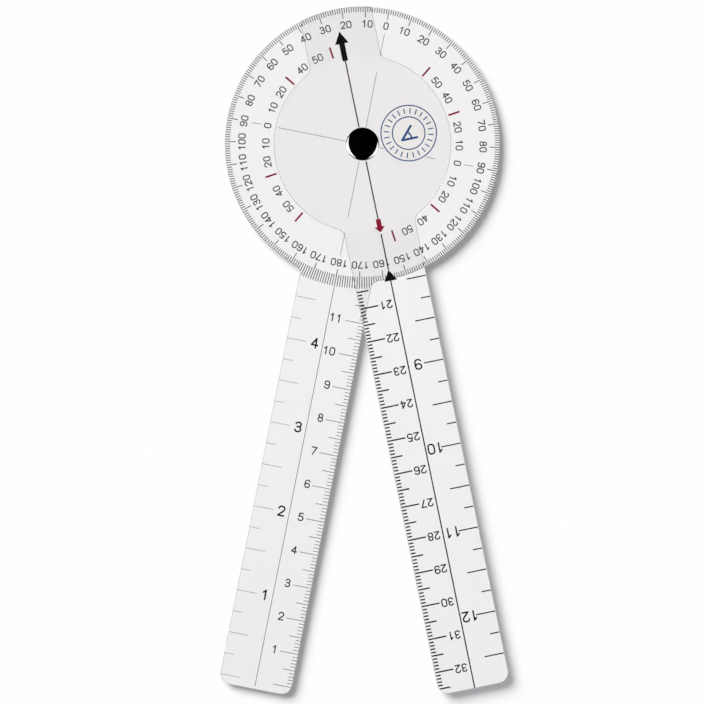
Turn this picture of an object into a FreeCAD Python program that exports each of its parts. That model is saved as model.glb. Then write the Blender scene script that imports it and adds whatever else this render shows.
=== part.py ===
"""Two-arm plastic goniometer: a round protractor plate with a fixed arm, and a measuring arm riveted over it.

Millimetres, +Z up. The origin is on the rivet's axis, on the flat back of the rivet, which is the face that
the goniometer rests on. The fixed arm points along -Y, and its 0 degree mark along +Y. The two arms together
make one straight rule when the measuring arm is swung to +Y.
"""

import FreeCAD, Part
import math
import os
from types import SimpleNamespace

import Sketcher

V = FreeCAD.Vector
UP = V(0, 0, 1)

DRIVING_SIZES = {
    # Clear sheets
    "sheet_thickness": 0.8,
    "head_radius": 40.8,
    "fixed_arm_width": 21.6,
    "fixed_arm_reach": 164.75,
    "hub_radius": 26.3,
    "blade_width": 21.44,
    "blade_reach": 164.65,
    "root_fillet": 2.8,
    "end_corner": 3.3,
    "softened_edge": 0.22,
    "film_thickness": 0.1,
    "swing_angle": 22.9,
    # Rivet
    "barrel_radius": 2.0,
    "barrel_bore": 1.25,
    "running_clearance": 0.05,
    "press_clearance": 0.01,
    "flange_thickness": 0.4,
    "cap_radius": 5.05,
    "cap_height": 2.0,
    "cap_side": 1.0,
    "cap_shoulder": 0.4,
    "cap_wall": 0.3,
    "cap_lip": 0.9,
    "rear_head_radius": 4.5,
    "rear_head_thickness": 1.5,
    "rear_head_rim": 0.3,
    "washer_radius": 4.8,
    "washer_thickness": 0.3,
    # Printing
    "ink_thickness": 0.03,
    "badge_radius": 8.4,
    "badge_offset": 14.05,
    "badge_drop": 0.45,
    "badge_margin": 0.3,
    "badge_ring": 0.34,
    "badge_inner_radius": 5.0,
}

doc = FreeCAD.newDocument("Goniometer")
sheet = doc.addObject("Spreadsheet::Sheet", "Sizes")
for row, (alias, number) in enumerate(DRIVING_SIZES.items(), start=1):
    sheet.set(f"A{row}", alias)
    sheet.set(f"B{row}", str(number))
    sheet.setAlias(f"B{row}", alias)
doc.recompute()


# ---------------------------------------------------------------- sizes

class Size:
    """A length or an angle: its number, and the sheet expression that the model is bound to."""

    def __init__(self, text, number):
        self.text = text
        self.number = number

    def __add__(self, other):
        other = as_size(other)
        return Size(f"({self.text} + {other.text})", self.number + other.number)

    def __sub__(self, other):
        other = as_size(other)
        return Size(f"({self.text} - {other.text})", self.number - other.number)

    def __mul__(self, other):
        other = as_size(other)
        return Size(f"({self.text} * {other.text})", self.number * other.number)

    def __truediv__(self, other):
        other = as_size(other)
        return Size(f"({self.text} / {other.text})", self.number / other.number)

    def __neg__(self):
        return Size(f"(-1 * {self.text})", -self.number)


def as_size(value):
    """Take a plain number for a Size."""
    if isinstance(value, Size):
        return value
    return Size(repr(float(value)), float(value))


def root(size):
    """Square root of a Size."""
    return Size(f"sqrt({size.text})", math.sqrt(size.number))


def chord_depth(radius, width):
    """Distance from a circle's centre to a chord of the given width."""
    half = width / 2
    return root(radius * radius - half * half)


def bind(owner, path, size):
    """Bind a property, or a sketch constraint, to a sheet expression."""
    owner.setExpression(path, as_size(size).text)


D = SimpleNamespace(**{alias: Size(f"Sizes.{alias}", number) for alias, number in DRIVING_SIZES.items()})

# Heights of the stack, from the resting plane up
WASHER_Z = D.rear_head_thickness
PLATE_Z = WASHER_Z + D.washer_thickness
FILM_Z = PLATE_Z + D.sheet_thickness
BLADE_Z = FILM_Z + D.film_thickness
BLADE_TOP = BLADE_Z + D.sheet_thickness
PLATE_INK_Z = PLATE_Z - D.ink_thickness
BLADE_INK_Z = BLADE_TOP
BADGE_INK_Z = BLADE_TOP + D.ink_thickness

PIVOT_HOLE = D.barrel_radius + D.running_clearance
SWING = D.swing_angle + 180
INK_START = D.cap_radius + 0.15

subparts = []


# ---------------------------------------------------------------- building blocks

def place(item, height, swung):
    """Lift an item to its height, and swing what belongs to the measuring arm about the rivet."""
    turn = SWING if swung else as_size(0)
    item.Placement = FreeCAD.Placement(V(0, 0, height.number), FreeCAD.Rotation(UP, turn.number))
    if item.TypeId != "Part::Feature":
        bind(item, "Placement.Base.z", height)
        if swung:
            bind(item, "Placement.Rotation.Angle", turn)


def new_body(label, height, swung=False):
    """A PartDesign body at its height."""
    body = doc.addObject("PartDesign::Body", label)
    body.Label = label
    place(body, height, swung)
    subparts.append(body)
    return body


def new_sketch(body, name, role="XY_Plane"):
    """A sketch on one of the body's own origin planes."""
    sketch = body.newObject("Sketcher::SketchObject", name)
    plane = next(item for item in body.Origin.OriginFeatures if item.Role == role)
    sketch.AttachmentSupport = [(plane, "")]
    sketch.MapMode = "FlatFace"
    return sketch


def constrain(sketch, kind, *references, size):
    """Add a dimension to a sketch and bind it."""
    index = sketch.addConstraint(Sketcher.Constraint(kind, *references, size.number))
    bind(sketch, f"Constraints[{index}]", size)


def add_circle(sketch, radius, centre=(0, 0)):
    """A circle with its radius and the place of its centre bound."""
    centre = [as_size(value) for value in centre]
    radius = as_size(radius)
    circle = Part.Circle(V(centre[0].number, centre[1].number, 0), UP, radius.number)
    index = sketch.addGeometry(circle)
    pin_point(sketch, index, 3, centre)
    constrain(sketch, "Radius", index, size=radius)


def pin_point(sketch, geometry, end, point):
    """Hold one point of a sketch at a bound place."""
    x, y = (as_size(value) for value in point)
    for axis, kind, size in ((-2, "DistanceX", x), (-1, "DistanceY", y)):
        if size.number == 0:
            sketch.addConstraint(Sketcher.Constraint("PointOnObject", geometry, end, axis))
        else:
            constrain(sketch, kind, -1, 1, geometry, end, size=size)


def add_outline(sketch, points, bulges=()):
    """A closed outline through bound points; bulges maps the number of a side to its arc's bound radius.

    A side with a bulge is an arc about the sketch's origin.
    """
    bulges = dict(bulges)
    count = len(points)
    places = [tuple(as_size(value) for value in point) for point in points]
    flat = [V(x.number, y.number, 0) for x, y in places]
    first = sketch.GeometryCount
    ends = []
    for side in range(count):
        start, stop = flat[side], flat[(side + 1) % count]
        if side in bulges:
            circle = Part.Circle(V(0, 0, 0), UP, bulges[side].number)
            low, high = (math.atan2(point.y, point.x) for point in (start, stop))
            sketch.addGeometry(Part.ArcOfCircle(circle, low, high))
            sketch.addConstraint(Sketcher.Constraint("Coincident", first + side, 3, -1, 1))
        else:
            sketch.addGeometry(Part.LineSegment(start, stop))
        ends.append((first + side, 1, 2))
    for side in range(count):
        this, after = ends[side], ends[(side + 1) % count]
        sketch.addConstraint(Sketcher.Constraint("Coincident", this[0], this[2], after[0], after[1]))
    pinned_by_arc = {(side + 1) % count for side in bulges}
    for side in range(count):
        if side in pinned_by_arc:
            constrain(sketch, "DistanceX", -1, 1, first + side, 1, size=places[side][0])
        else:
            pin_point(sketch, first + side, 1, places[side])


def pad(body, sketch, name, length):
    """Extrude a sketch upwards."""
    feature = body.newObject("PartDesign::Pad", name)
    feature.Profile = sketch
    bind(feature, "Length", length)
    sketch.Visibility = False
    doc.recompute()
    return feature


def drill(body, name, radius, depth=None):
    """Cut a round hole at the rivet's axis, upwards to a depth or through everything."""
    before = body.Shape.Volume
    sketch = new_sketch(body, name + "_circle")
    add_circle(sketch, radius)
    feature = body.newObject("PartDesign::Pocket", name)
    feature.Profile = sketch
    feature.Reversed = True
    if depth is None:
        feature.Type = "ThroughAll"
    else:
        bind(feature, "Length", depth)
    doc.recompute()
    if not body.Shape.Volume < before:
        raise RuntimeError(f"{name} cut nothing")


def revolve(body, sketch, name, kind="PartDesign::Revolution"):
    """Turn a profile on the XZ plane about the rivet's axis."""
    feature = body.newObject(kind, name)
    feature.Profile = sketch
    feature.ReferenceAxis = (sketch, ["V_Axis"])
    feature.Angle = 360
    doc.recompute()
    return feature


def round_edges(body, name, radius, chosen):
    """Fillet the edges, or all edges of the faces, that the test picks."""
    base = body.Tip
    names = [f"Edge{i}" for i, edge in enumerate(base.Shape.Edges, start=1) if chosen(edge)]
    names += [f"Face{i}" for i, face in enumerate(base.Shape.Faces, start=1) if chosen(face)]
    if not names:
        raise RuntimeError(f"{name} found no edge")
    feature = body.newObject("PartDesign::Fillet", name)
    feature.Base = (base, names)
    bind(feature, "Radius", radius)
    doc.recompute()
    return feature


def upright_edge_at(points):
    """Test for the straight upright edges at some XY points."""
    def chosen(item):
        if item.ShapeType != "Edge":
            return False
        box = item.BoundBox
        if box.ZLength < 0.1 or box.XLength > 0.01 or box.YLength > 0.01:
            return False
        return any(math.hypot(box.Center.x - x, box.Center.y - y) < 0.05 for x, y in points)
    return chosen


def level_face(item):
    """Test for the flat faces that lie level."""
    return item.ShapeType == "Face" and item.BoundBox.ZLength < 1e-6


def circle_edge(radius, height):
    """Test for a level circular edge of a radius at a height."""
    def chosen(item):
        if item.ShapeType != "Edge" or item.BoundBox.ZLength > 1e-6:
            return False
        return (abs(item.BoundBox.XLength / 2 - radius) < 1e-4
                and abs(item.BoundBox.ZMin - height) < 1e-4)
    return chosen


# ---------------------------------------------------------------- clear sheets

def protractor_plate():
    """Round head with the fixed arm, cut from one sheet."""
    half = D.fixed_arm_width / 2
    body = new_body("protractor_plate", PLATE_Z)
    head = new_sketch(body, "head_outline")
    add_circle(head, D.head_radius)
    pad(body, head, "head", D.sheet_thickness)
    arm = new_sketch(body, "fixed_arm_outline")
    add_outline(arm, [(-half, 0), (-half, -D.fixed_arm_reach), (half, -D.fixed_arm_reach), (half, 0)])
    pad(body, arm, "fixed_arm", D.sheet_thickness)
    depth = chord_depth(D.head_radius, D.fixed_arm_width).number
    roots = [(side * half.number, -depth) for side in (-1, 1)]
    round_edges(body, "arm_roots", D.root_fillet, upright_edge_at(roots))
    corners = [(side * half.number, -D.fixed_arm_reach.number) for side in (-1, 1)]
    round_edges(body, "arm_corners", D.end_corner, upright_edge_at(corners))
    drill(body, "pivot_hole", PIVOT_HOLE)
    round_edges(body, "softened_edges", D.softened_edge, level_face)
    return body


def measuring_arm():
    """Round hub with the long blade and the short pointer tab, drawn with the blade along +Y."""
    half = D.blade_width / 2
    tab = chord_depth(D.head_radius, D.blade_width)
    body = new_body("measuring_arm", BLADE_Z, swung=True)
    hub = new_sketch(body, "hub_outline")
    add_circle(hub, D.hub_radius)
    pad(body, hub, "hub", D.sheet_thickness)
    blade = new_sketch(body, "blade_outline")
    outline = [(-half, -tab), (half, -tab), (half, D.blade_reach), (-half, D.blade_reach)]
    add_outline(blade, outline, {0: D.head_radius})
    pad(body, blade, "blade", D.sheet_thickness)
    depth = chord_depth(D.hub_radius, D.blade_width).number
    roots = [(side * half.number, end * depth) for side in (-1, 1) for end in (-1, 1)]
    round_edges(body, "hub_roots", D.root_fillet, upright_edge_at(roots))
    corners = [(side * half.number, D.blade_reach.number) for side in (-1, 1)]
    round_edges(body, "blade_corners", D.end_corner, upright_edge_at(corners))
    drill(body, "pivot_hole", PIVOT_HOLE)
    round_edges(body, "softened_edges", D.softened_edge, level_face)
    return body


def flat_ring(label, height, radius, bore, thickness):
    """A flat disc with a hole in the middle."""
    body = new_body(label, height)
    sketch = new_sketch(body, label + "_outline")
    add_circle(sketch, radius)
    add_circle(sketch, bore)
    pad(body, sketch, label + "_pad", thickness)
    return body


# ---------------------------------------------------------------- rivet

def rivet_post():
    """Rear half of the rivet: a flat round head with a stem that is pressed into the barrel."""
    stem = D.barrel_bore - D.press_clearance
    stem_top = BLADE_TOP
    body = new_body("rivet_post", as_size(0))
    profile = new_sketch(body, "post_profile", "XZ_Plane")
    add_outline(profile, [
        (0, 0),
        (D.rear_head_radius, 0),
        (D.rear_head_radius, D.rear_head_thickness),
        (stem, D.rear_head_thickness),
        (stem, stem_top),
        (0, stem_top),
    ])
    revolve(body, profile, "post")
    rim = circle_edge(D.rear_head_radius.number, 0)
    round_edges(body, "rear_rim", D.rear_head_rim, rim)
    return body


def rivet_barrel():
    """Front half of the rivet: a tube through both sheets, with the flange that the cap is pressed over."""
    flange = D.cap_radius - D.cap_wall - D.running_clearance
    flange_bottom = BLADE_TOP + D.cap_wall
    flange_top = flange_bottom + D.flange_thickness
    body = new_body("rivet_barrel", as_size(0))
    profile = new_sketch(body, "barrel_profile", "XZ_Plane")
    add_outline(profile, [
        (D.barrel_bore, D.rear_head_thickness),
        (D.barrel_radius, D.rear_head_thickness),
        (D.barrel_radius, flange_bottom),
        (flange, flange_bottom),
        (flange, flange_top),
        (D.barrel_bore, flange_top),
    ])
    revolve(body, profile, "barrel")
    return body


def dome_section(body, name, radius, bottom, top, dome_radius):
    """Half section of a domed disc, with its side, its crown and the radius of its dome."""
    centre = top - dome_radius
    side = centre + root(dome_radius * dome_radius - radius * radius)
    sketch = new_sketch(body, name, "XZ_Plane")
    corners = [V(0, bottom.number, 0), V(radius.number, bottom.number, 0), V(radius.number, side.number, 0)]
    sketch.addGeometry(Part.LineSegment(corners[0], corners[1]))
    sketch.addGeometry(Part.LineSegment(corners[1], corners[2]))
    circle = Part.Circle(V(0, centre.number, 0), UP, dome_radius.number)
    low = math.atan2(side.number - centre.number, radius.number)
    sketch.addGeometry(Part.ArcOfCircle(circle, low, math.pi / 2))
    sketch.addGeometry(Part.LineSegment(V(0, top.number, 0), corners[0]))
    for this in range(4):
        sketch.addConstraint(Sketcher.Constraint("Coincident", this, 2, (this + 1) % 4, 1))
    pin_point(sketch, 0, 1, (0, bottom))
    pin_point(sketch, 1, 1, (radius, bottom))
    pin_point(sketch, 2, 1, (radius, side))
    sketch.addConstraint(Sketcher.Constraint("PointOnObject", 2, 3, -2))
    pin_point(sketch, 3, 1, (0, top))
    return sketch, side


# As shares of the cap's wall: how deep its lip is bored through, and how far its rim is rolled
BORE_OVERRUN, ROLLED_SHARE = 1.5, 0.8


def rivet_cap():
    """Domed cap: a thin pressed shell whose lip is rolled in under the barrel's flange."""
    body = new_body("rivet_cap", BLADE_TOP)
    rise = D.cap_height - D.cap_side
    dome_radius = (D.cap_radius * D.cap_radius + rise * rise) / (rise * 2)
    outside, side = dome_section(body, "outer_section", D.cap_radius, as_size(0), D.cap_height, dome_radius)
    revolve(body, outside, "dome")
    round_edges(body, "outer_shoulder", D.cap_shoulder, circle_edge(D.cap_radius.number, side.number))
    inner_radius = D.cap_radius - D.cap_wall
    inner_top = D.cap_height - D.cap_wall
    inside, inner_side = dome_section(body, "inner_section", inner_radius, D.cap_wall, inner_top,
                                      dome_radius - D.cap_wall)
    before = body.Shape.Volume
    revolve(body, inside, "hollow", "PartDesign::Groove")
    if not body.Shape.Volume < before:
        raise RuntimeError("the cap is not hollow")
    inner_shoulder = circle_edge(inner_radius.number, inner_side.number)
    round_edges(body, "inner_shoulder", D.cap_shoulder - D.cap_wall, inner_shoulder)
    drill(body, "lip_bore", inner_radius - D.cap_lip, D.cap_wall * BORE_OVERRUN)
    round_edges(body, "rolled_rim", D.cap_wall * ROLLED_SHARE, circle_edge(D.cap_radius.number, 0))
    return body


# ---------------------------------------------------------------- printed marks

def bar(start, stop, width):
    """Face of a straight stroke with square ends."""
    along = (stop - start).normalize()
    aside = V(-along.y, along.x, 0) * (width / 2)
    corners = [start - aside, stop - aside, stop + aside, start + aside]
    return Part.Face(Part.makePolygon(corners + corners[:1]))


def radial_bar(angle, inner, outer, width):
    """Face of a stroke that runs outwards from the rivet's axis; the angle is counted from +X."""
    ray = V(math.cos(math.radians(angle)), math.sin(math.radians(angle)), 0)
    return bar(ray * inner, ray * outer, width)


def round_spot(centre, radius):
    """Face of a round spot."""
    return Part.Face(Part.Wire(Part.makeCircle(radius, centre)))


def ring(centre, outer, inner):
    """Face between two circles."""
    return Part.makeFace([Part.makeCircle(outer, centre), Part.makeCircle(inner, centre)],
                         "Part::FaceMakerBullseye")


def bent_stroke(centre, radius, start, stop, width):
    """Face of a stroke along an arc; the angles are in degrees and stop is more than start."""
    rims = []
    for offset in (width / 2, -width / 2):
        rims.append(Part.makeCircle(radius + offset, centre, UP, start, stop))
    outer, inner = rims
    closing = [
        Part.LineSegment(outer.valueAt(rim_end(outer, at)), inner.valueAt(rim_end(inner, at))).toShape()
        for at in (0, 1)
    ]
    return Part.Face(Part.Wire(Part.__sortEdges__([outer, inner] + closing)))


def rim_end(edge, at):
    """Parameter of the first or the last point of an edge."""
    return edge.LastParameter if at else edge.FirstParameter


# Centre lines of the digits, in a box one unit high and centred on x = 0. A line is two points. A curve is a
# centre, a radius and the angles that it starts and stops at. DIGIT_SPREAD moves the halves of a digit apart.
LEFT, RIGHT = -0.275, 0.275
SMALL_BOWL, LARGE_BOWL = 0.235, 0.265
DIGIT_LINES = {
    "0": [((LEFT, 0.275), (LEFT, 0.725)), ((RIGHT, 0.275), (RIGHT, 0.725))],
    "1": [((0.06, 0.0), (0.06, 1.0)), ((0.06, 1.0), (-0.19, 0.76))],
    "2": [((0.19, 0.535), (-0.27, 0.0)), ((-0.27, 0.0), (0.28, 0.0))],
    "3": [((-0.08, 0.53), (0.02, 0.53))],
    "4": [((0.10, 0.0), (0.10, 1.0)), ((0.10, 1.0), (-0.28, 0.29)), ((-0.28, 0.29), (0.29, 0.29))],
    "5": [((0.22, 1.0), (-0.17, 1.0)), ((-0.17, 1.0), (-0.22, 0.52))],
    "6": [((LEFT, 0.275), (LEFT, 0.725))],
    "7": [((-0.28, 1.0), (0.28, 1.0)), ((0.28, 1.0), (-0.09, 0.0))],
    "8": [],
    "9": [((RIGHT, 0.275), (RIGHT, 0.725))],
}
DIGIT_CURVES = {
    "0": [((0, 0.725), 0.275, 0, 180), ((0, 0.275), 0.275, 180, 360)],
    "1": [],
    "2": [((0, 0.73), 0.27, -46, 175)],
    "3": [((0, 0.765), SMALL_BOWL, -90, 165), ((0, 0.265), LARGE_BOWL, -165, 90)],
    "4": [],
    "5": [((-0.01, 0.31), 0.30, -155, 135)],
    "6": [((0, 0.275), 0.275, 0, 360), ((0, 0.725), 0.275, 20, 180)],
    "7": [],
    "8": [((0, 0.765), SMALL_BOWL, 0, 360), ((0, 0.265), LARGE_BOWL, 0, 360)],
    "9": [((0, 0.725), 0.275, 0, 360), ((0, 0.275), 0.275, 200, 360)],
}
DIGIT_SPREAD = 0.04
DIGIT_ADVANCE = 0.785


def digit(character, height, weight):
    """Face of one digit, standing on y = 0 and centred on x = 0; weight is its stroke over its height."""
    width = weight * height
    scale = height - width
    spread = 0 if character == "1" else DIGIT_SPREAD

    def at(x, y, side):
        """A point of the unit box, moved by the spread towards the side that its half of the digit is on."""
        return V((x + math.copysign(spread, side)) * scale, y * scale + width / 2, 0)

    strokes = []
    for line in DIGIT_LINES[character]:
        start, stop = (at(x, y, x) for x, y in line)
        strokes.append(bar(start, stop, width))
        strokes += [round_spot(point, width / 2) for point in (start, stop)]
    for (x, y), radius, start, stop in DIGIT_CURVES[character]:
        joints = [turn for turn in (-90, 90, 270) if start < turn < stop]
        turns = [start, *joints, stop]
        for first, last in zip(turns, turns[1:]):
            centre = at(x, y, math.cos(math.radians((first + last) / 2)))
            strokes.append(bent_stroke(centre, radius * scale, first, last, width))
            for turn in (first, last):
                tip = V(math.cos(math.radians(turn)), math.sin(math.radians(turn)), 0) * radius * scale
                strokes.append(round_spot(centre + tip, width / 2))
        for turn in joints:
            level = y + radius * math.sin(math.radians(turn))
            strokes.append(bar(at(x, level, -1), at(x, level, 1), width))
    return strokes[0].multiFuse(strokes[1:]).removeSplitter()


digit_store = {}


def numeral(number, height, weight, anchor=0.5):
    """Faces of a whole number; anchor is the share of its width that lies left of x = 0."""
    text = str(number)
    step = DIGIT_ADVANCE * height
    faces = []
    for i, character in enumerate(text):
        key = (character, height, weight)
        if key not in digit_store:
            digit_store[key] = digit(*key)
        face = digit_store[key].copy()
        face.translate(V((i + 0.5 - anchor * len(text)) * step, -height / 2, 0))
        faces.append(face)
    return faces


def facing_outwards(faces, angle, radius):
    """Set a numeral on a circle about the rivet, with its top outwards."""
    ray = V(math.cos(math.radians(angle)), math.sin(math.radians(angle)), 0)
    placed = []
    for face in faces:
        face.rotate(V(0, 0, 0), UP, angle - 90)
        face.translate(ray * radius)
        placed.append(face)
    return placed


def printed_layer(label, marks, height, swung=False, area=None):
    """A layer of ink: every mark is a thin solid, trimmed to the flat face that carries it."""
    if area is not None:
        marks = Part.makeCompound(marks).common(area).Faces
    thickness = DRIVING_SIZES["ink_thickness"]
    solids = []
    for mark in marks:
        for face in mark.Faces:
            solids.append(face.extrude(UP * thickness))
    layer = doc.addObject("Part::Feature", label)
    layer.Label = label
    layer.Shape = Part.makeCompound(solids)
    place(layer, height, swung)
    subparts.append(layer)


def printable_face(body):
    """The flat face of a sheet inside its softened edges, laid on z = 0 in the sheet's own frame."""
    level = [face for face in body.Tip.Shape.Faces if level_face(face)]
    flat = max(level, key=lambda face: face.CenterOfMass.z)
    flat = flat.copy()
    flat.translate(V(0, 0, -flat.BoundBox.ZMin))
    return flat


# Degree circle and reference lines on the protractor plate
DEGREE_TICK = SimpleNamespace(inner=39.3, ten_inner=37.7, outer=42.8, width=0.27)
DEGREE_NUMERAL = SimpleNamespace(radius=35.8, height=2.23, weight=0.145, crowding=1.1)
QUADRANT = SimpleNamespace(radius=28.7, mark_inner=26.9, mark_outer=30.4, mark_width=0.55)
QUADRANT_PLACES = {0: 0, 10: 10.9, 20: 21.6, 40: 40.2, 50: 51.1}
FINE_LINE = 0.156

# The rule along both arms: its zero is this far below the rivet when the arms are in line
RULE_ZERO = 162.2
# Each scale: its unit in millimetres, the ticks in a unit, and (every how many ticks, length) pairs
CM_TICK = SimpleNamespace(unit=10, divisions=10, lengths=((10, 5.6), (5, 3.7), (1, 1.6)))
INCH_TICK = SimpleNamespace(unit=25.4, divisions=4, lengths=((2, 6.0), (1, 3.0)))
CM_NUMERAL = SimpleNamespace(height=2.52, lift=0.23)
INCH_NUMERAL = SimpleNamespace(height=3.24, lift=0.05)

# What is printed on each arm: the weight of its lines and the part of each scale that it carries.
# A centimetre numeral is set clear of its tick by the gap for its count of digits, and the centre of an inch
# numeral is inch_centre from the middle of the arm.
FIXED_RULE = SimpleNamespace(
    prefix="fixed", arm_width="fixed_arm_width",
    cm_line=0.19, cm_span=(0, 11.5), cm_numbers=range(1, 12), cm_weight=0.145, cm_gaps={1: 0.63, 2: 1.05},
    inch_line=0.125, inch_span=(0, 4.5), inch_numbers=range(1, 5), inch_zero=RULE_ZERO, inch_centre=2.4,
    inch_weight=0.146,
)
ARM_RULE = SimpleNamespace(
    prefix="arm", arm_width="blade_width",
    cm_line=0.42, cm_span=(20.5, 32.5), cm_numbers=range(21, 33), cm_weight=0.148, cm_gaps={2: 0.38},
    inch_line=0.355, inch_span=(8, 12.5), inch_numbers=range(9, 13), inch_zero=RULE_ZERO - 0.8,
    inch_centre=2.97, inch_weight=0.140,
)


def degree_circle(area):
    """The 360 degree circle at the head's rim and its numerals, 0 to 180 both ways round."""
    ticks = []
    tens = []
    for angle in range(360):
        is_ten = angle % 10 == 0
        inner = DEGREE_TICK.ten_inner if is_ten else DEGREE_TICK.inner
        tick = radial_bar(angle, inner, DEGREE_TICK.outer, DEGREE_TICK.width)
        (tens if is_ten else ticks).append(tick)
    printed_layer("degree_ticks", ticks, PLATE_INK_Z, area=area)
    printed_layer("ten_degree_ticks", tens, PLATE_INK_Z, area=area)
    numerals = []
    for degrees in range(0, 190, 10):
        for side in (-1, 1):
            if degrees in (0, 180) and side == 1:
                continue
            faces = numeral(degrees, DEGREE_NUMERAL.height, DEGREE_NUMERAL.weight)
            angle = degrees
            if 0 < degrees < 90:
                angle -= DEGREE_NUMERAL.crowding * (1 - degrees / 90)
            elif degrees > 90 and side < 0:
                angle -= DEGREE_NUMERAL.crowding * (2.1 - degrees / 90)
            numerals += facing_outwards(faces, 90 + side * angle, DEGREE_NUMERAL.radius)
    printed_layer("degree_numerals", numerals, PLATE_INK_Z)


def quadrant_scale():
    """The inner scale: 0 on the cross axis, then 10, 20, a red mark, 40, 50 and a red mark each way.

    Its numerals stand a little aside of their angles, as QUADRANT_PLACES gives them.
    """
    numerals = []
    marks = []
    for axis in (0, 180):
        for degrees in range(0, 70, 10):
            for side in (-1, 1):
                angle = axis + side * degrees
                if degrees == 0 and side == 1:
                    continue
                if degrees % 30 == 0 and degrees > 0:
                    mark = radial_bar(angle, QUADRANT.mark_inner, QUADRANT.mark_outer, QUADRANT.mark_width)
                    marks.append(mark)
                else:
                    faces = numeral(degrees, DEGREE_NUMERAL.height, DEGREE_NUMERAL.weight)
                    place_angle = axis + side * QUADRANT_PLACES[degrees]
                    numerals += facing_outwards(faces, place_angle, QUADRANT.radius)
    printed_layer("quadrant_numerals", numerals, PLATE_INK_Z)
    printed_layer("quadrant_marks", marks, PLATE_INK_Z)


def reference_lines():
    """The 0 to 180 and 90 to 90 axes, broken where the numerals and the hub's rim are."""
    start = INK_START.number
    runs = (
        (90, start, 22.0), (90, 26.7, 33.5),
        (270, start, 22.0), (270, 26.7, 33.5),
        (180, start, 25.6), (180, 30.7, 33.4),
        (0, start, 22.0), (0, 30.7, 33.4),
    )
    lines = [radial_bar(angle, inner, outer, FINE_LINE) for angle, inner, outer in runs]
    printed_layer("reference_lines", lines, PLATE_INK_Z)


def rule_ticks(edge_x, span, scale, zero, width):
    """Ticks that run inwards from one edge of an arm; span is the part of the scale, in its own units."""
    inwards = V(-math.copysign(1, edge_x), 0, 0)
    ticks = []
    for count in range(round(span[0] * scale.divisions), round(span[1] * scale.divisions) + 1):
        length = next(length for every, length in scale.lengths if count % every == 0)
        edge = V(edge_x, count * scale.unit / scale.divisions - zero, 0)
        ticks.append(bar(edge, edge + inwards * length, width))
    return ticks


def rule(printing, area, *layer):
    """Centimetres along the right edge of an arm, inches along its left; layer is height and swing."""
    half = DRIVING_SIZES[printing.arm_width] / 2
    ticks = rule_ticks(half, printing.cm_span, CM_TICK, RULE_ZERO, printing.cm_line)
    printed_layer(printing.prefix + "_cm_ticks", ticks, *layer, area=area)

    numerals = []
    longest = CM_TICK.lengths[0][1]
    for number in printing.cm_numbers:
        right = half - longest - printing.cm_gaps[len(str(number))]
        height = number * CM_TICK.unit - RULE_ZERO + CM_NUMERAL.lift
        for face in numeral(number, CM_NUMERAL.height, printing.cm_weight, anchor=1):
            face.translate(V(right, height, 0))
            numerals.append(face)
    printed_layer(printing.prefix + "_cm_numerals", numerals, *layer)

    zero = printing.inch_zero
    ticks = rule_ticks(-half, printing.inch_span, INCH_TICK, zero, printing.inch_line)
    printed_layer(printing.prefix + "_inch_ticks", ticks, *layer, area=area)

    numerals = []
    for number in printing.inch_numbers:
        height = number * INCH_TICK.unit - zero + INCH_NUMERAL.lift
        for face in numeral(number, INCH_NUMERAL.height, printing.inch_weight):
            face.translate(V(-printing.inch_centre, height, 0))
            numerals.append(face)
    printed_layer(printing.prefix + "_inch_numerals", numerals, *layer)


def ink_shape(label, height, points):
    """A filled shape printed on the measuring arm, from its outline."""
    body = new_body(label, height, swung=True)
    sketch = new_sketch(body, label + "_outline")
    add_outline(sketch, points)
    pad(body, sketch, label + "_ink", D.ink_thickness)


def arrow_outline(tail, neck, tip, shaft, head):
    """Outline of an arrow along Y, from its tail to its tip."""
    return [
        (-shaft / 2, tail), (-shaft / 2, neck), (-head / 2, neck), (0, tip),
        (head / 2, neck), (shaft / 2, neck), (shaft / 2, tail),
    ]


TAB_ARROW = SimpleNamespace(tail=-25.2, neck=-30.4, tip=-34.1, shaft=1.65, head=4.05)
HUB_ARROW = SimpleNamespace(tail=22.7, neck=25.0, tip=26.7, shaft=1.45, head=3.2)
TRIANGLE = SimpleNamespace(tip=38.0, base=41.3, width=3.8)
POINTER_GAP = 0.5
BLADE_LINE = 0.38
FIXED_LINE = 0.187
FIXED_LINE_END_GAP = 0.9


def arm_pointers():
    """The measuring arm's centre line and the arrows and triangle on it."""
    start = INK_START.number
    runs = (
        (-start, TAB_ARROW.tail),
        (start, HUB_ARROW.tail),
        (HUB_ARROW.tip + POINTER_GAP, TRIANGLE.tip),
        (TRIANGLE.base, DRIVING_SIZES["blade_reach"] - DRIVING_SIZES["softened_edge"]),
    )
    lines = [bar(V(0, low, 0), V(0, high, 0), BLADE_LINE) for low, high in runs]
    printed_layer("arm_centre_lines", lines, BLADE_INK_Z, swung=True)
    ink_shape("tab_pointer", BLADE_INK_Z, arrow_outline(**vars(TAB_ARROW)))
    ink_shape("hub_pointer", BLADE_INK_Z, arrow_outline(**vars(HUB_ARROW)))
    half = TRIANGLE.width / 2
    triangle = [(0, TRIANGLE.tip), (half, TRIANGLE.base), (-half, TRIANGLE.base)]
    ink_shape("reading_triangle", BLADE_INK_Z, triangle)


BADGE_RAY = SimpleNamespace(count=24, inner_gap=0.8, outer_gap=1.0)
ANGLE_SIGN = SimpleNamespace(
    corner=V(2.3, 1.7, 0), level_leg=V(-4.8, 0, 0), sloping_leg=V(-3.5, -3.9, 0), line=0.66,
    arc_radius=2.9, arc_line=0.48,
)


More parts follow.
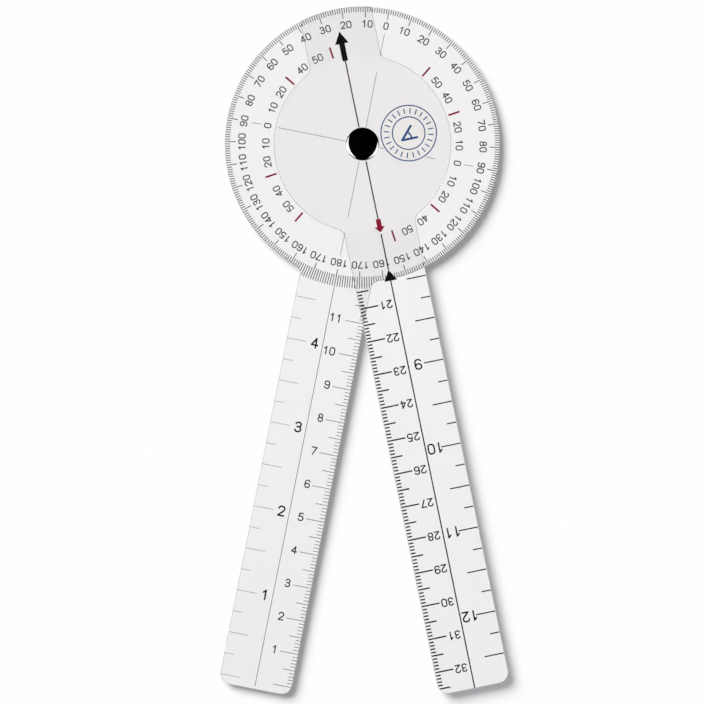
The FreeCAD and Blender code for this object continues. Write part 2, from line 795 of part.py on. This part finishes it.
def angle_sign(centre):
    """An angle with its arc, about the centre of the badge."""
    corner = centre + ANGLE_SIGN.corner
    sloping = math.degrees(math.atan2(ANGLE_SIGN.sloping_leg.y, ANGLE_SIGN.sloping_leg.x)) % 360
    strokes = [
        bar(corner, corner + ANGLE_SIGN.level_leg, ANGLE_SIGN.line),
        bar(corner, corner + ANGLE_SIGN.sloping_leg, ANGLE_SIGN.line),
        round_spot(corner, ANGLE_SIGN.line / 2),
        bent_stroke(corner, ANGLE_SIGN.arc_radius, 180, sloping, ANGLE_SIGN.arc_line),
    ]
    return strokes[0].multiFuse(strokes[1:]).removeSplitter()


def badge():
    """A round badge beside the rivet: a pale backing, and an angle sign within two rings."""
    backing = new_body("badge_backing", BLADE_INK_Z, swung=True)
    sketch = new_sketch(backing, "backing_outline")
    add_circle(sketch, D.badge_radius + D.badge_margin, (-D.badge_offset, -D.badge_drop))
    pad(backing, sketch, "backing_ink", D.ink_thickness)

    centre = V(-DRIVING_SIZES["badge_offset"], -DRIVING_SIZES["badge_drop"], 0)
    outer = DRIVING_SIZES["badge_radius"]
    inner = DRIVING_SIZES["badge_inner_radius"]
    line = DRIVING_SIZES["badge_ring"]
    marks = [ring(centre, outer, outer - line), ring(centre, inner, inner - line)]
    for step in range(BADGE_RAY.count):
        angle = 2 * math.pi * step / BADGE_RAY.count
        ray = V(math.cos(angle), math.sin(angle), 0)
        start = centre + ray * (inner + BADGE_RAY.inner_gap)
        stop = centre + ray * (outer - BADGE_RAY.outer_gap)
        marks.append(bar(start, stop, line))
    marks.append(angle_sign(centre))
    printed_layer("badge_print", marks, BADGE_INK_Z, swung=True)


# ---------------------------------------------------------------- the whole goniometer

plate = protractor_plate()
blade = measuring_arm()
flat_ring("friction_disc", FILM_Z, D.hub_radius, PIVOT_HOLE, D.film_thickness)
flat_ring("rear_washer", WASHER_Z, D.washer_radius, PIVOT_HOLE, D.washer_thickness)
rivet_post()
rivet_barrel()
rivet_cap()
doc.recompute()

plate_area = printable_face(plate)
blade_area = printable_face(blade)
degree_circle(plate_area)
quadrant_scale()
reference_lines()
fixed_line_end = FIXED_LINE_END_GAP - DRIVING_SIZES["fixed_arm_reach"]
centre_line = bar(V(0, -DEGREE_TICK.outer, 0), V(0, fixed_line_end, 0), FIXED_LINE)
printed_layer("fixed_centre_line", [centre_line], PLATE_INK_Z)
rule(FIXED_RULE, plate_area, PLATE_INK_Z)
rule(ARM_RULE, blade_area, BLADE_INK_Z, True)
arm_pointers()
badge()
doc.recompute()

for item in doc.Objects:
    if "Invalid" in item.State or "Error" in item.State:
        raise RuntimeError(f"{item.Label} failed: {item.State}")
for item in subparts:
    if item.Shape.isNull() or not item.Shape.isValid():
        raise RuntimeError(f"{item.Label} has no valid shape")

os.makedirs("parts", exist_ok=True)
for item in subparts:
    item.Shape.exportStep(f"parts/{item.Label}.step")
    box = item.Shape.BoundBox
    spans = [f"{low:.2f}..{high:.2f}" for low, high in (
        (box.XMin, box.XMax), (box.YMin, box.YMax), (box.ZMin, box.ZMax))]
    print(f"{item.Label}: {len(item.Shape.Solids)} solid(s), volume {item.Shape.Volume:.2f}, x y z {spans}")
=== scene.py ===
"""Looks of the clear plastic goniometer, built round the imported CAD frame.

Metres, in the CAD's own frame: the rivet's axis is +Z, the fixed arm lies along -Y, and the floor
is the resting plane at z = 0.
"""

import math
from types import SimpleNamespace

import bmesh
import bpy
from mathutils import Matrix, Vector


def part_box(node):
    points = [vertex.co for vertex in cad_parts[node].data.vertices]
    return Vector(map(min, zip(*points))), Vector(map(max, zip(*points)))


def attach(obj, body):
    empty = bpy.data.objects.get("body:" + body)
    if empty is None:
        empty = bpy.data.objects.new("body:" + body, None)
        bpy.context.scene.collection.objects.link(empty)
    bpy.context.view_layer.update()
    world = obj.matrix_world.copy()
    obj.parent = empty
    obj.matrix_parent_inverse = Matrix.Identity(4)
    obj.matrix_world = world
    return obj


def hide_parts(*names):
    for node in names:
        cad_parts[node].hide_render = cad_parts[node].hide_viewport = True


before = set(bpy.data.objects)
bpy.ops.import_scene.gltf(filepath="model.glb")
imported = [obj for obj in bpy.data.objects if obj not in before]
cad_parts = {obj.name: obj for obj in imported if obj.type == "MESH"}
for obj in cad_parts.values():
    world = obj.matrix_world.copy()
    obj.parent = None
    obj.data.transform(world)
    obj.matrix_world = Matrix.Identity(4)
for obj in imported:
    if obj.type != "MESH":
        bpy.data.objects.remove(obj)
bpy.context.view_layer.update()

MM = 0.001
HUB_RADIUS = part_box("friction_disc")[1].x


# ---------------------------------------------------------------- node building

class Graph:
    """A material's or a world's node tree, and short ways to add to it."""

    def __init__(self, name, kind="materials"):
        self.owner = getattr(bpy.data, kind).new(name)
        self.owner.use_nodes = True
        self.tree = self.owner.node_tree
        self.tree.nodes.clear()

    def add(self, kind, sockets=(), **settings):
        """A node with its settings, and its inputs set to numbers or linked to outputs."""
        node = self.tree.nodes.new(kind)
        for key, value in settings.items():
            setattr(node, key, value)
        for key, value in dict(sockets).items():
            if isinstance(value, bpy.types.NodeSocket):
                self.tree.links.new(value, node.inputs[key])
            else:
                node.inputs[key].default_value = value
        return node

    def place(self, scale=(1.0, 1.0, 1.0), turn=0.0):
        """The surface's own coordinates in metres, scaled and turned about the rivet's axis."""
        where = self.add("ShaderNodeTexCoord").outputs["Object"]
        sockets = {"Vector": where, "Scale": scale, "Rotation": (0.0, 0.0, turn)}
        return self.add("ShaderNodeMapping", sockets).outputs["Vector"]

    def noise(self, where, scale, detail):
        """Noise from 0 to 1; scale is the number of features in a metre."""
        sockets = {"Vector": where, "Scale": scale, "Detail": detail, "Roughness": 0.5}
        return self.add("ShaderNodeTexNoise", sockets).outputs["Fac"]

    def between(self, value, low, high, start=0.3, stop=0.7):
        """A value spread over start to stop, moved to low to high."""
        sockets = {
            "Value": value, "From Min": start, "From Max": stop, "To Min": low, "To Max": high,
        }
        return self.add("ShaderNodeMapRange", sockets).outputs["Result"]

    def mixed(self, factor, first, second):
        """A colour between two others."""
        node = self.add("ShaderNodeMix", data_type="RGBA")
        colours = [socket for socket in node.inputs if socket.type == "RGBA"]
        self.tree.links.new(factor, node.inputs[0])
        for socket, colour in zip(colours, (first, second)):
            if isinstance(colour, bpy.types.NodeSocket):
                self.tree.links.new(colour, socket)
            else:
                socket.default_value = (*colour, 1.0)
        return next(socket for socket in node.outputs if socket.type == "RGBA")

    def math(self, operation, *values):
        """A Math node's result."""
        sockets = dict(enumerate(values))
        return self.add("ShaderNodeMath", sockets, operation=operation).outputs[0]

    def length(self, vector):
        """The length of a vector."""
        node = self.add("ShaderNodeVectorMath", {0: vector}, operation="LENGTH")
        return node.outputs["Value"]

    def bump(self, height, strength, distance):
        """A bumped normal; distance is the full height of the bumps in metres."""
        sockets = {"Height": height, "Strength": strength, "Distance": distance}
        return self.add("ShaderNodeBump", sockets).outputs["Normal"]

    def finish(self, surface, output="ShaderNodeOutputMaterial"):
        """Make a shader the surface, and return what it belongs to."""
        self.add(output, {"Surface": surface})
        return self.owner


# ---------------------------------------------------------------- materials

# Handling marks are smudges, and hairlines drawn out by their stretch; scuffs is where in the noise
# a hairline begins and is at its strongest. A face is a rim where the upward part of its normal is
# under the first share in rim, and flat over the second. Rims are painted dark: painted shade for
# the dark line at a clear sheet's edge.
SHEET = SimpleNamespace(
    smudge_scale=55.0, smudge_tint=0.992, smudge_gloss=0.2,
    hairline_stretch=(2600.0, 70.0, 1.0), hairline_turn=0.4, hairline_depth=0.02,
    scuffs=(0.55, 0.75),
    wave_scale=38.0, bump_strength=0.25, bump_depth=0.03 * MM,
    # The sheets are painted darker beyond the hub, a painted shade that deepens over this reach
    # from the rivet.
    roughness=0.012, wear=0.10, rim=(0.90, 0.995), painted_shade_reach=(60 * MM, 165 * MM),
)
FILM = SimpleNamespace(smudge_scale=90.0, roughness=(0.15, 0.3), sheen=0.02)
INK = SimpleNamespace(
    cover_scale=900.0, cover=(0.35, 0.75), mesh_scale=9000.0, glossier=0.08, duller=0.1,
    specular=0.2, bump_strength=0.3, bump_depth=0.01 * MM,
)
# Shares of the metal's roughness: even all over, in the polishing rings, and in the specks
METAL = SimpleNamespace(
    speck_scale=1400.0, speck_tint=0.94, even=0.6, in_rings=0.5, in_specks=0.4,
    bump_depth=0.004 * MM,
)


def clear_plastic(name, tint, painted_shade_shares, painted_rim_shade, ior, turn, shadow):
    """Clear sheet with glossy faces and painted shade on its rims, which lamps shine through.

    Under the hub the sheet has its plain tint. Beyond it the colour is painted darker, a painted
    shade, by the first of the two shares, and by the second at the arms' far ends.
    """
    graph = Graph(name)
    where = graph.place(turn=turn)
    smudges = graph.noise(where, SHEET.smudge_scale, 3.0)
    scratched = graph.place(SHEET.hairline_stretch, turn=turn + SHEET.hairline_turn)
    hairlines = graph.noise(scratched, 1.0, 3.0)
    waves = graph.noise(where, SHEET.wave_scale, 1.0)

    # Painted shade: beyond the hub the sheet's colour is darkened, more so towards the arms' far
    # ends.
    beyond, at_end = ([share * part for part in tint] for share in painted_shade_shares)
    reach = graph.length(where)
    outside = graph.mixed(graph.between(reach, 0.0, 1.0, *SHEET.painted_shade_reach), beyond, at_end)
    plain = graph.mixed(graph.math("GREATER_THAN", reach, HUB_RADIUS), tint, outside)
    cleaned = graph.between(smudges, SHEET.smudge_tint, 1.0)
    face = graph.add("ShaderNodeVectorMath", {0: plain, "Scale": cleaned}, operation="SCALE")
    normal = graph.add("ShaderNodeNewGeometry").outputs["Normal"]
    upward = graph.add("ShaderNodeSeparateXYZ", {0: normal}).outputs["Z"]
    flatness = graph.between(graph.math("ABSOLUTE", upward), 0.0, 1.0, *SHEET.rim)
    # Painted shade: the rims take the dark rim colour in place of the sheet's own colour.
    colour = graph.mixed(flatness, painted_rim_shade, face.outputs["Vector"])

    smudged = graph.between(smudges, SHEET.smudge_gloss, 1.0)
    scuffed = graph.between(hairlines, 0.0, SHEET.wear, *SHEET.scuffs)
    marks = graph.math("MULTIPLY", smudged, scuffed)
    height = graph.math("ADD", waves, graph.math("MULTIPLY", hairlines, SHEET.hairline_depth))
    body = graph.add("ShaderNodeBsdfPrincipled", {
        "Base Color": colour,
        "Roughness": graph.math("ADD", marks, SHEET.roughness),
        "Transmission Weight": 1.0,
        "IOR": ior,
        "Normal": graph.bump(height, SHEET.bump_strength, SHEET.bump_depth),
    })

    rays = graph.add("ShaderNodeLightPath").outputs
    seen_through = graph.math("GREATER_THAN", rays["Transmission Depth"], 0.5)
    scattered = rays["Is Diffuse Ray"]
    unshaded = graph.math("MAXIMUM", seen_through, scattered)
    shade = graph.mixed(unshaded, shadow, (1.0, 1.0, 1.0))
    for_lamps = graph.add("ShaderNodeBsdfTransparent", {"Color": shade})
    lit = graph.math("MAXIMUM", rays["Is Shadow Ray"], scattered)
    both = graph.add("ShaderNodeMixShader", {
        0: lit, 1: body.outputs["BSDF"], 2: for_lamps.outputs["BSDF"],
    })
    return graph.finish(both.outputs["Shader"])


def clear_film(name, tint, turn):
    """Thin clear film: a faint haze and a soft sheen."""
    graph = Graph(name)
    smudges = graph.noise(graph.place(turn=turn), FILM.smudge_scale, 3.0)
    haze = graph.mixed(smudges, tint, (1.0, 1.0, 1.0))
    through = graph.add("ShaderNodeBsdfTransparent", {"Color": haze})
    sheen = graph.add("ShaderNodeBsdfPrincipled", {
        "Base Color": (0.9, 0.9, 0.9, 1.0), "Roughness": graph.between(smudges, *FILM.roughness),
    })
    both = graph.add("ShaderNodeMixShader", {
        0: FILM.sheen, 1: through.outputs["BSDF"], 2: sheen.outputs["BSDF"],
    })
    return graph.finish(both.outputs["Shader"])


def printed_ink(name, colour, worn, roughness=0.45):
    """Screen-printing ink: a fine mesh grain in its gloss, and slightly uneven cover."""
    graph = Graph(name)
    where = graph.place()
    cover = graph.noise(where, INK.cover_scale, 3.0)
    mesh = graph.noise(where, INK.mesh_scale, 2.0)
    surface = graph.add("ShaderNodeBsdfPrincipled", {
        "Base Color": graph.mixed(graph.between(cover, 0.0, 1.0, *INK.cover), colour, worn),
        "Roughness": graph.between(mesh, roughness - INK.glossier, roughness + INK.duller),
        "Specular IOR Level": INK.specular,
        "Normal": graph.bump(mesh, INK.bump_strength, INK.bump_depth),
    })
    return graph.finish(surface.outputs["BSDF"])


def bright_metal(name, colour, roughness, ring_scale, ring_strength):
    """Plated or rolled metal, with fine rings left by polishing about the rivet's axis."""
    graph = Graph(name)
    radius = graph.length(graph.place((1.0, 1.0, 0.0)))
    along = graph.add("ShaderNodeCombineXYZ", {"X": radius, "Y": 0.0, "Z": 0.0})
    rings = graph.noise(along.outputs["Vector"], ring_scale, 3.0)
    where = graph.add("ShaderNodeTexCoord").outputs["Object"]
    specks = graph.noise(where, METAL.speck_scale, 4.0)
    darker = [METAL.speck_tint * part for part in colour]
    ring_marks = graph.between(rings, 0.0, roughness * METAL.in_rings)
    speck_marks = graph.between(specks, 0.0, roughness * METAL.in_specks)
    uneven = graph.math("ADD", ring_marks, speck_marks)
    surface = graph.add("ShaderNodeBsdfPrincipled", {
        "Base Color": graph.mixed(graph.between(specks, 0.0, 1.0), colour, darker),
        "Metallic": 1.0,
        "Roughness": graph.math("ADD", uneven, roughness * METAL.even),
        "Normal": graph.bump(rings, ring_strength, METAL.bump_depth),
    })
    return graph.finish(surface.outputs["BSDF"])


# Each sheet's rim colour is painted shade at its rims, and its two darker shares are painted shade
# beyond the hub.
plate_sheet = clear_plastic(
    "clear_plate", tint=(0.972, 0.957, 0.963), painted_shade_shares=(0.983, 0.937),
    painted_rim_shade=(0.28, 0.285, 0.30), ior=1.47, turn=0.0, shadow=(0.20, 0.20, 0.205),
)
arm_sheet = clear_plastic(
    "clear_arm", tint=(0.972, 0.960, 0.965), painted_shade_shares=(0.977, 0.932),
    painted_rim_shade=(0.22, 0.225, 0.24), ior=1.42, turn=0.7, shadow=(0.35, 0.35, 0.36),
)
film = clear_film("clear_film", tint=(0.997, 0.997, 0.997), turn=1.9)
chrome = bright_metal(
    "rivet_chrome", (0.80, 0.81, 0.83), roughness=0.05, ring_scale=9000.0, ring_strength=0.06,
)
washer_steel = bright_metal(
    "washer_steel", (0.55, 0.56, 0.58), roughness=0.34, ring_scale=6000.0, ring_strength=0.35,
)
hairline_ink = printed_ink("grey_ink", (0.075, 0.08, 0.09), (0.13, 0.135, 0.15))
numeral_ink = printed_ink("dark_ink", (0.012, 0.012, 0.014), (0.034, 0.034, 0.037))
black_ink = printed_ink("black_ink", (0.002, 0.002, 0.003), (0.010, 0.010, 0.012), 0.38)
pointer_red = printed_ink("pointer_red", (0.21, 0.003, 0.024), (0.27, 0.010, 0.040))
mark_red = printed_ink("mark_red", (0.21, 0.007, 0.030), (0.26, 0.014, 0.046))
blue_ink = printed_ink("blue_ink", (0.012, 0.055, 0.19), (0.03, 0.09, 0.26), 0.4)
pale_ink = printed_ink("pale_ink", (0.755, 0.735, 0.715), (0.79, 0.77, 0.755), 0.5)

MATERIALS = {
    "protractor_plate": plate_sheet,
    "measuring_arm": arm_sheet,
    "friction_disc": film,
    "rivet_cap": chrome,
    "rivet_barrel": chrome,
    "rivet_post": chrome,
    "rear_washer": washer_steel,
    "degree_ticks": hairline_ink,
    "ten_degree_ticks": hairline_ink,
    "reference_lines": hairline_ink,
    "fixed_centre_line": hairline_ink,
    "fixed_cm_ticks": hairline_ink,
    "fixed_inch_ticks": hairline_ink,
    "degree_numerals": numeral_ink,
    "quadrant_numerals": numeral_ink,
    "fixed_cm_numerals": numeral_ink,
    "fixed_inch_numerals": black_ink,
    "quadrant_marks": mark_red,
    "hub_pointer": pointer_red,
    "arm_centre_lines": black_ink,
    "arm_cm_ticks": black_ink,
    "arm_cm_numerals": black_ink,
    "arm_inch_ticks": black_ink,
    "arm_inch_numerals": black_ink,
    "tab_pointer": black_ink,
    "reading_triangle": black_ink,
    "badge_backing": pale_ink,
    "badge_print": blue_ink,
}
SHADING_PIECES = ("protractor_plate", "measuring_arm")

for name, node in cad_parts.items():
    node.data.materials.clear()
    node.data.materials.append(MATERIALS[name])
    node.visible_shadow = node.visible_diffuse = name in SHADING_PIECES


# ---------------------------------------------------------------- pieces that replace CAD nodes

FILM_HOLE_RADIUS = 2.1 * MM
FILM_GAP = 0.02 * MM
FILM_STEPS = 180
CAP_STEPS = 192
ROLL_STEPS, SHOULDER_STEPS, DOME_STEPS, INNER_SHOULDER_STEPS = 6, 14, 24, 6
WELD_DISTANCE = 1e-8


def lathe(name, section, material, steps, smooth):
    """A closed section in the plane of radius and height, turned about the rivet's axis."""
    vertices = []
    for step in range(steps):
        angle = 2 * math.pi * step / steps
        across, up = math.cos(angle), math.sin(angle)
        vertices += [(radius * across, radius * up, height) for radius, height in section]
    around = len(section)
    faces = []
    for step in range(steps):
        here, there = step * around, (step + 1) % steps * around
        for side in range(around):
            after = (side + 1) % around
            faces.append((here + side, there + side, there + after, here + after))
    mesh = bpy.data.meshes.new(name)
    mesh.from_pydata(vertices, [], faces)
    shape = bmesh.new()
    shape.from_mesh(mesh)
    bmesh.ops.remove_doubles(shape, verts=shape.verts, dist=WELD_DISTANCE)
    bmesh.ops.recalc_face_normals(shape, faces=shape.faces)
    shape.to_mesh(mesh)
    shape.free()
    if smooth:
        mesh.shade_smooth()
    mesh.materials.append(material)
    piece = bpy.data.objects.new(name, mesh)
    bpy.context.scene.collection.objects.link(piece)
    piece.visible_shadow = piece.visible_diffuse = False
    return piece


def film_disc():
    """The film between the sheets: a thin disc with rolled rims, a hair clear of both faces."""
    low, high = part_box("friction_disc")
    outer, inner = high.x, FILM_HOLE_RADIUS
    bottom, top = low.z + FILM_GAP, high.z - FILM_GAP
    middle, rim = (bottom + top) / 2, (top - bottom) / 2
    section = [
        (inner + rim, bottom), (outer - rim, bottom), (outer, middle),
        (outer - rim, top), (inner + rim, top), (inner, middle),
    ]
    disc = lathe("friction_film", section, film, FILM_STEPS, False)
    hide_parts("friction_disc")
    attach(disc, "protractor")


def bend(centre, radius, start, stop, steps):
    """Points along an arc in the plane of radius and height; the angles are in radians."""
    angles = (start + (stop - start) * step / steps for step in range(steps + 1))
    return [(centre[0] + radius * math.cos(a), centre[1] + radius * math.sin(a)) for a in angles]


class CapShape:
    """The outside of the rivet's cap: an upright side, a tight shoulder and an even dome."""

    low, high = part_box("rivet_cap")
    radius, base, crown = high.x, low.z, high.z
    wall, lip, side, shoulder, roll = 0.3 * MM, 0.9 * MM, 1.0 * MM, 0.4 * MM, 0.2 * MM
    rise = crown - base - side
    dome = (radius ** 2 + rise ** 2) / (2 * rise)
    centre = crown - dome
    shoulder_radius = radius - shoulder
    shoulder_height = centre + math.sqrt((dome - shoulder) ** 2 - shoulder_radius ** 2)
    tilt = math.atan2(shoulder_height - centre, shoulder_radius)

    @classmethod
    def surface(cls, angle, share):
        """The point and the normal at an angle about the axis and a share of the cap's radius."""
        radius = share * cls.radius
        if radius < cls.dome * math.cos(cls.tilt):
            lean = math.asin(radius / cls.dome)
            height = cls.centre + cls.dome * math.cos(lean)
        else:
            lean = math.asin((radius - cls.shoulder_radius) / cls.shoulder)
            height = cls.shoulder_height + cls.shoulder * math.cos(lean)
        outward = Vector((math.cos(angle), math.sin(angle), 0.0))
        upward = Vector((0.0, 0.0, 1.0))
        point = radius * outward + height * upward
        return point, math.sin(lean) * outward + math.cos(lean) * upward


def polished_cap():
    """The rivet's cap as one drawn shell with a rolled rim."""
    cap = CapShape
    inside = cap.radius - cap.wall
    inner_dome, inner_shoulder = cap.dome - cap.wall, cap.shoulder - cap.wall
    top, upright = (0.0, cap.centre), math.pi / 2
    shoulder = (cap.shoulder_radius, cap.shoulder_height)
    roll = (cap.radius - cap.roll, cap.base + cap.roll)
    section = [(inside - cap.lip, cap.base)]
    section += bend(roll, cap.roll, -upright, 0.0, ROLL_STEPS)
    section += bend(shoulder, cap.shoulder, 0.0, cap.tilt, SHOULDER_STEPS)
    section += bend(top, cap.dome, cap.tilt, upright, DOME_STEPS)[1:]
    section += bend(top, inner_dome, upright, cap.tilt, DOME_STEPS)
    section += bend(shoulder, inner_shoulder, cap.tilt, 0.0, INNER_SHOULDER_STEPS)[1:]
    section += [(inside, cap.base + cap.wall), (inside - cap.lip, cap.base + cap.wall)]
    piece = lathe("polished_cap", section, chrome, CAP_STEPS, True)
    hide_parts("rivet_cap")
    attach(piece, "protractor")


film_disc()
polished_cap()


# ---------------------------------------------------------------- floor, light and camera

FLOOR_HALF_WIDTH = 6.0
FLOOR_GRAIN_SCALE = 300.0
# Upward parts of a direction between which the room darkens from its horizon to its dome
HORIZON_BAND = (0.42, 0.55)
DRUM_STEPS = 48
DRUM_GLOW = 0.0003
# The cards hang at this distance from the cap, and the two powers shape their tapered ends
CARD = SimpleNamespace(steps=24, distance=0.9, glow=1.4, inner_taper=2.0, outer_taper=1.3)
VIEW_TURN = math.radians(11.24)
VIEW_CENTRE = Vector((8.94 * MM, -61.02 * MM, 2.6 * MM))
VIEW_WIDTH = 208.8 * MM
SENSOR_WIDTH = 36.0


def pale_floor():
    """A wide white table under the goniometer."""
    size = FLOOR_HALF_WIDTH
    mesh = bpy.data.meshes.new("floor")
    corners = [(-size, -size, 0.0), (size, -size, 0.0), (size, size, 0.0), (-size, size, 0.0)]
    mesh.from_pydata(corners, [], [(0, 1, 2, 3)])
    floor = bpy.data.objects.new("floor", mesh)
    bpy.context.scene.collection.objects.link(floor)
    graph = Graph("white_table")
    grain = graph.noise(graph.place(), FLOOR_GRAIN_SCALE, 2.0)
    paint = graph.mixed(grain, (0.90, 0.90, 0.90), (0.92, 0.92, 0.92))
    surface = graph.add("ShaderNodeBsdfDiffuse", {"Color": paint})
    mesh.materials.append(graph.finish(surface.outputs["BSDF"]))


def studio_world(strength, horizon, colour):
    """An even pale room, which looks brighter towards the horizon than it lights the table."""
    graph = Graph("studio", "worlds")
    rays = graph.add("ShaderNodeLightPath").outputs
    seen = graph.math("MAXIMUM", rays["Is Camera Ray"], rays["Is Glossy Ray"])
    seen = graph.math("MAXIMUM", seen, rays["Is Transmission Ray"])
    towards = graph.add("ShaderNodeTexCoord").outputs["Generated"]
    upward = graph.add("ShaderNodeSeparateXYZ", {0: towards}).outputs["Z"]
    low = graph.between(upward, 1.0, 0.0, *HORIZON_BAND)
    glow = graph.between(graph.math("MULTIPLY", seen, low), strength, horizon, 0.0, 1.0)
    room = graph.add("ShaderNodeBackground", {"Color": (*colour, 1.0), "Strength": glow})
    world = graph.finish(room.outputs["Background"], "ShaderNodeOutputWorld")
    bpy.context.scene.world = world


def reflected(name, vertices, faces, glow):
    """Studio furniture that is only seen in the reflections of polished pieces."""
    mesh = bpy.data.meshes.new(name)
    mesh.from_pydata(vertices, [], faces)
    card = bpy.data.objects.new(name, mesh)
    bpy.context.scene.collection.objects.link(card)
    graph = Graph(name)
    surface = graph.add("ShaderNodeEmission", {"Color": (1.0, 1.0, 1.0, 1.0), "Strength": glow})
    mesh.materials.append(graph.finish(surface.outputs["Emission"]))
    card.visible_camera = False
    card.visible_diffuse = False
    card.visible_transmission = False
    card.visible_shadow = False


def dark_drum(radius, low, high):
    """A black tent hung over the table: a round wall and its lid."""
    steps = DRUM_STEPS
    turns = [2 * math.pi * step / steps for step in range(steps)]
    ring = [(radius * math.cos(a), radius * math.sin(a)) for a in turns]
    vertices = [(*place, height) for height in (low, high) for place in ring]
    wall = [(i, (i + 1) % steps, (i + 1) % steps + steps, i + steps) for i in range(steps)]
    lid = tuple(range(steps, 2 * steps))
    reflected("dark_drum", vertices, [*wall, lid], DRUM_GLOW)


def bowed_card(name, camera, middle, half_turn, inner, outer, tip):
    """A bowed white card, hung where the cap mirrors it to the camera as a crescent.

    The crescent reaches half_turn degrees to both sides of its middle, an angle on the picture. It
    is as wide as inner to outer there, in shares of the cap's radius, and tapers to its tips.
    """
    vertices = []
    for step in range(CARD.steps + 1):
        way = 2 * step / CARD.steps - 1
        angle = math.radians(middle + half_turn * way) + VIEW_TURN
        for edge, taper in ((inner, CARD.inner_taper), (outer, CARD.outer_taper)):
            share = edge + (tip - edge) * abs(way) ** taper
            point, normal = CapShape.surface(angle, share)
            mirrored = (point - camera.location).normalized().reflect(normal)
            vertices.append(point + CARD.distance * mirrored)
    faces = [(2 * i, 2 * i + 1, 2 * i + 3, 2 * i + 2) for i in range(CARD.steps)]
    reflected(name, vertices, faces, CARD.glow)


def key_light(azimuth, elevation, strength, colour, spread):
    """A broad distant softbox. Angles are in degrees; azimuth counts from +X towards +Y."""
    lamp = bpy.data.lights.new("key", "SUN")
    lamp.energy = strength
    lamp.color = colour
    lamp.angle = math.radians(spread)
    key = bpy.data.objects.new("key", lamp)
    bpy.context.scene.collection.objects.link(key)
    a, e = math.radians(azimuth), math.radians(elevation)
    towards = Vector((math.cos(a) * math.cos(e), math.sin(a) * math.cos(e), math.sin(e)))
    key.rotation_mode = "QUATERNION"
    key.rotation_quaternion = towards.to_track_quat("Z", "Y")
    key.visible_glossy = False


def overhead_camera(lens):
    """A long lens straight above, with the picture's upright turned from the fixed arm."""
    data = bpy.data.cameras.new("camera")
    data.lens = lens
    data.sensor_width = SENSOR_WIDTH
    camera = bpy.data.objects.new("camera", data)
    bpy.context.scene.collection.objects.link(camera)
    camera.location = VIEW_CENTRE + Vector((0.0, 0.0, VIEW_WIDTH * lens / SENSOR_WIDTH))
    camera.rotation_euler = (0.0, 0.0, VIEW_TURN)
    bpy.context.scene.camera = camera
    return camera


pale_floor()
studio_world(strength=0.295, horizon=0.97, colour=(0.98, 0.99, 1.03))
key_light(azimuth=145.0, elevation=41.5, strength=3.76, colour=(1.008, 1.003, 0.985), spread=37.0)
dark_drum(radius=1.1, low=0.51, high=1.2)
camera = overhead_camera(lens=200.0)
bowed_card("left_card", camera, middle=198.0, half_turn=48.0, inner=0.815, outer=0.974, tip=0.90)
bowed_card("right_card", camera, middle=330.5, half_turn=39.5, inner=0.835, outer=0.974, tip=0.90)
bpy.context.scene.view_settings.view_transform = "Standard"
